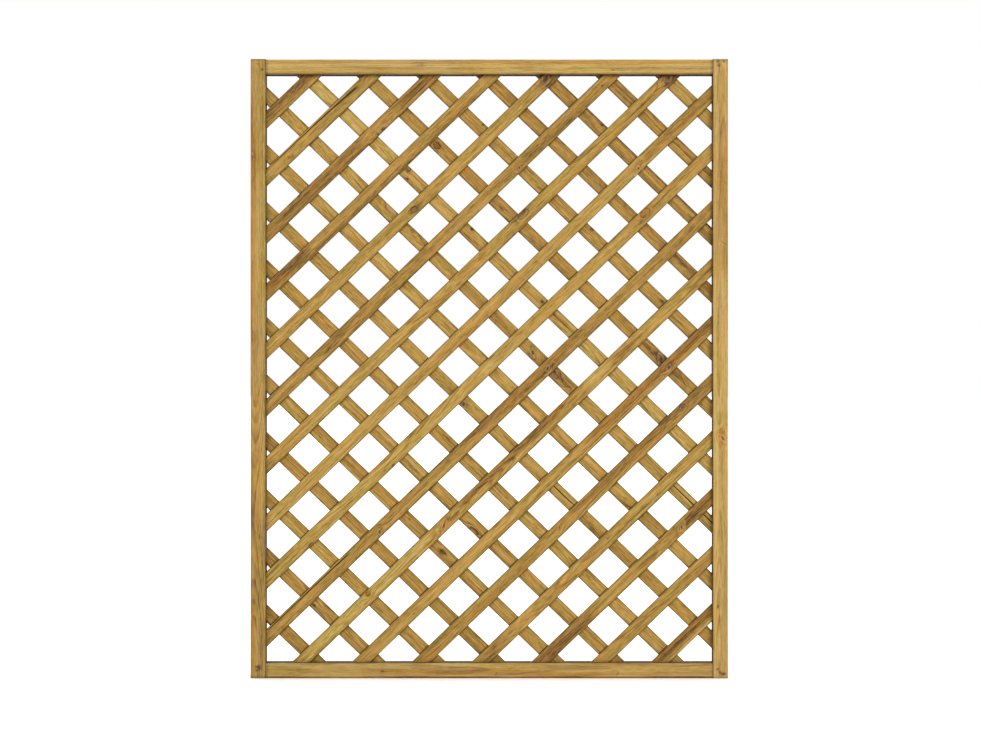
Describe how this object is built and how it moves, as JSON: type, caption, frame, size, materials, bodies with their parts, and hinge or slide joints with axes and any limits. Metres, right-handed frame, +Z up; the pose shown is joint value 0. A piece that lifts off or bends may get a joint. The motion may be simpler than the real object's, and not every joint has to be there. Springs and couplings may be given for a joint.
{
  "type": "wooden trellis panel",
  "caption": "Grooved softwood frame holding a diamond lattice of two crossed layers of slats, fixed between posts or to a wall.",
  "frame": {"origin": "middle of the left stile's outer face, where a post stands against the panel", "axes": "+X across the panel to the right stile, +Y from the front to the back, +Z up along the stiles"},
  "size_m": [1.388, 0.044, 1.8],
  "materials": {
    "frame_timber": "matte",
    "slat_timber": "matte",
    "fixings": "satin"
  },
  "bodies": {
    "root": {"left_stile": "frame_timber", "right_stile": "frame_timber", "top_rail": "frame_timber", "bottom_rail": "frame_timber", "front_slat_01": "slat_timber", "front_slat_02": "slat_timber", "front_slat_03": "slat_timber", "front_slat_04": "slat_timber", "front_slat_05": "slat_timber", "front_slat_06": "slat_timber", "front_slat_07": "slat_timber", "front_slat_08": "slat_timber", "front_slat_09": "slat_timber", "front_slat_10": "slat_timber", "front_slat_11": "slat_timber", "front_slat_12": "slat_timber", "front_slat_13": "slat_timber", "front_slat_14": "slat_timber", "front_slat_15": "slat_timber", "front_slat_16": "slat_timber", "front_slat_17": "slat_timber", "back_slat_01": "slat_timber", "back_slat_02": "slat_timber", "back_slat_03": "slat_timber", "back_slat_04": "slat_timber", "back_slat_05": "slat_timber", "back_slat_06": "slat_timber", "back_slat_07": "slat_timber", "back_slat_08": "slat_timber", "back_slat_09": "slat_timber", "back_slat_10": "slat_timber", "back_slat_11": "slat_timber", "back_slat_12": "slat_timber", "back_slat_13": "slat_timber", "back_slat_14": "slat_timber", "back_slat_15": "slat_timber", "back_slat_16": "slat_timber", "back_slat_17": "slat_timber"}
  },
  "joints": []
}
